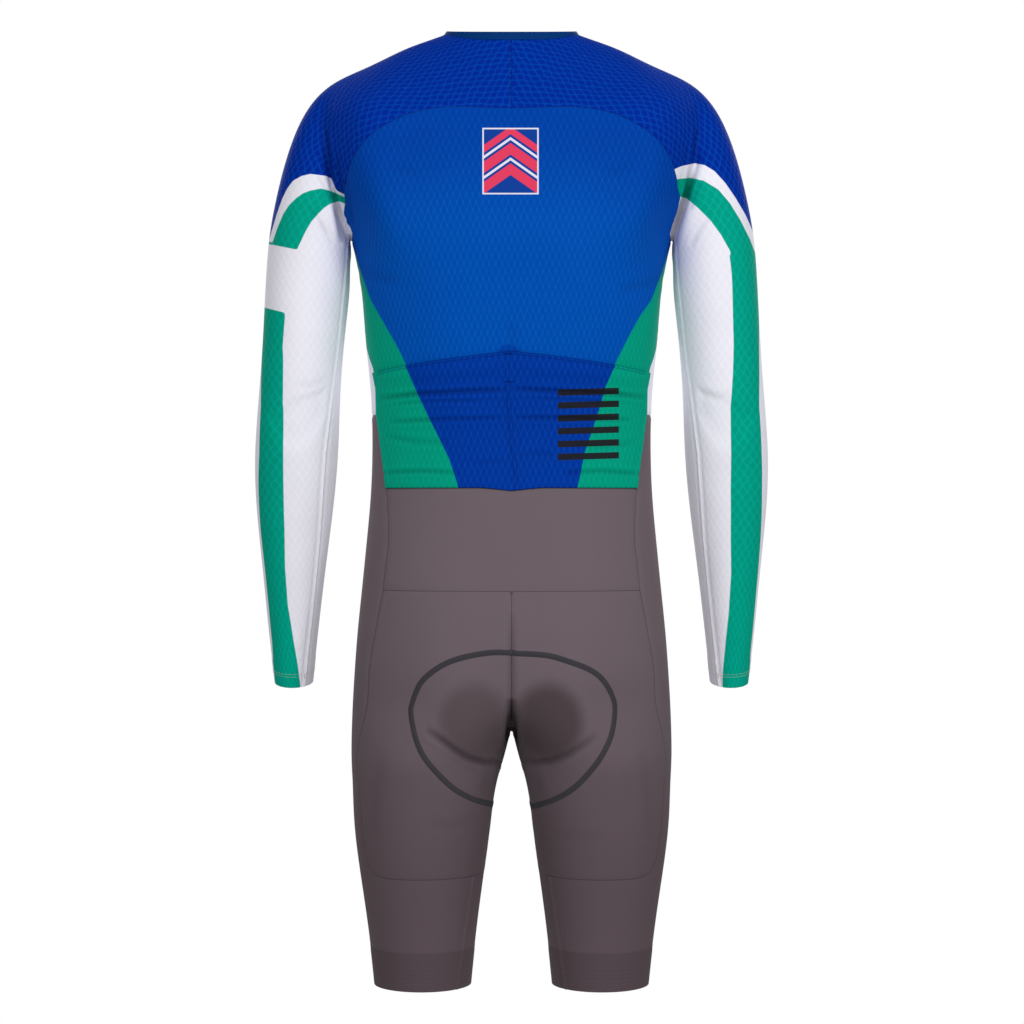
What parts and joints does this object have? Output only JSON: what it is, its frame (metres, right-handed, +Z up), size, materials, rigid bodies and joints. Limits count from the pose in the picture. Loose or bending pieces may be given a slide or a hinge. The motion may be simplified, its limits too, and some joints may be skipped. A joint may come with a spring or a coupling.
{
  "type": "long-sleeve cycling skinsuit",
  "caption": "One-piece stretch cycling suit with raglan long sleeves, rear pockets, front zip and padded seat, hollow as worn, open at neck, cuffs and leg hems.",
  "frame": {"origin": "in the neck opening, on the line of the shoulders that carry the suit", "axes": "+Z up, the wearer faces -Y, +X is the wearer's left"},
  "size_m": [0.5288, 0.2315, 0.9813],
  "materials": {
    "jersey_knit": "fine diamond knit, matt with a soft sheen",
    "raglan_knit": "coarse diamond knit, matt",
    "front_knit": "fine diamond knit, matt",
    "stretch_knit": "smooth fine stretch knit, faint sheen",
    "binding_tape": "smooth folded elastic tape",
    "zip_coil": "moulded coil on woven tape",
    "zip_metal": "dark lacquer"
  },
  "bodies": {
    "suit": {"back_panel": "jersey_knit", "pocket_panel": "jersey_knit", "sleeve_left": "raglan_knit", "sleeve_right": "raglan_knit", "front_left": "front_knit", "front_right": "front_knit", "lumbar_panel": "stretch_knit", "seat_left": "stretch_knit", "seat_right": "stretch_knit", "leg_left": "stretch_knit", "leg_right": "stretch_knit", "neck_binding": "binding_tape", "zip_chain": "zip_coil", "zip_slider": "zip_metal"},
    "pull_tab": {"zip_pull": "zip_metal"}
  },
  "joints": [
    {"name": "pull_tab_swing", "type": "hinge", "parent": "suit", "child": "pull_tab", "pos_m": [0, -0.08819, -0.04815], "axis": [-1, 0, 0], "range_deg": [0, 150]}
  ]
}
